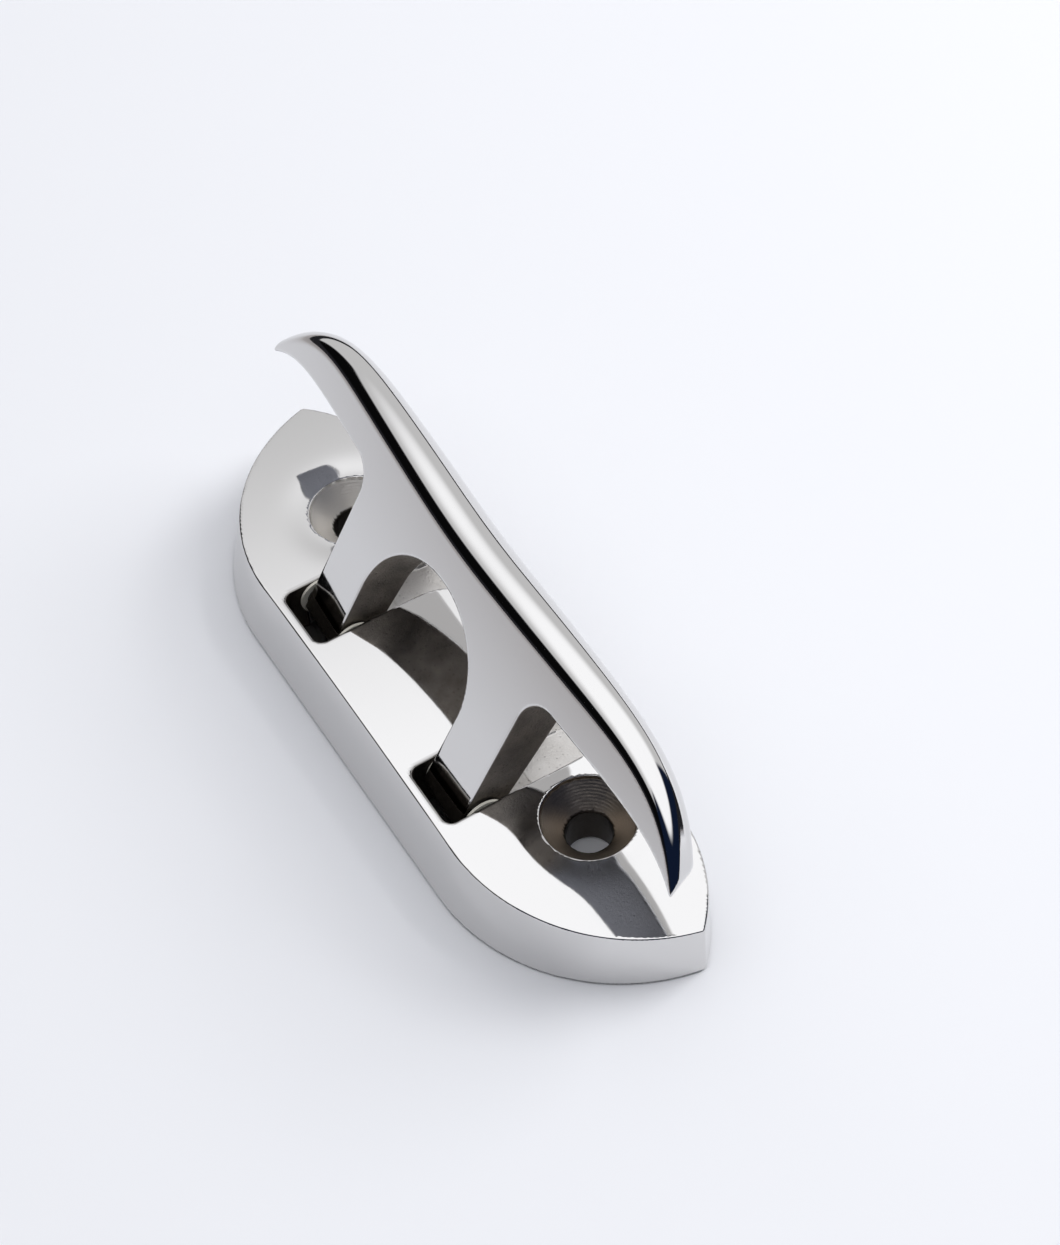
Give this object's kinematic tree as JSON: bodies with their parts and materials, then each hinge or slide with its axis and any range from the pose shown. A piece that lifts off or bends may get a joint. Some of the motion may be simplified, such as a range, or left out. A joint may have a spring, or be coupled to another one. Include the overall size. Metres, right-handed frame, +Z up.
{
  "type": "folding mooring cleat",
  "caption": "Low spindle-shaped base with a two-legged horn that stands up to take a mooring line and folds down beside the base when not in use.",
  "frame": {"origin": "on the flat underside, half way between the two screw holes", "axes": "+X along the cleat from tip to tip, +Y towards the side that the horn folds down to, +Z up out of the deck"},
  "size_m": [0.1146, 0.0331, 0.0364],
  "materials": {
    "polished_base": "cast 316 stainless steel, mirror polished outside, left as cast in the slots",
    "polished_horn": "cast 316 stainless steel, mirror polished outside, left as cast inside the arch and between the legs",
    "ground_pin": "ground stainless steel pin",
    "nylon": "natural nylon washer",
    "keeper_plate": "stamped stainless steel plate",
    "screw_steel": "stainless steel machine screw"
  },
  "bodies": {
    "deck_base": {"base": "polished_base", "hinge_pin_a": "ground_pin", "thrust_washer_a_inner": "nylon", "thrust_washer_a_outer": "nylon", "pin_keeper_a": "keeper_plate", "keeper_screw_a_1": "screw_steel", "keeper_screw_a_2": "screw_steel", "hinge_pin_b": "ground_pin", "thrust_washer_b_inner": "nylon", "thrust_washer_b_outer": "nylon", "pin_keeper_b": "keeper_plate", "keeper_screw_b_1": "screw_steel", "keeper_screw_b_2": "screw_steel"},
    "folding_horn": {"horn": "polished_horn"}
  },
  "joints": [
    {"name": "horn_fold", "type": "hinge", "parent": "deck_base", "child": "folding_horn", "pos_m": [0, -0.0114, 0.0078], "axis": [-1, 0, 0], "range_deg": [0, 60]}
  ]
}
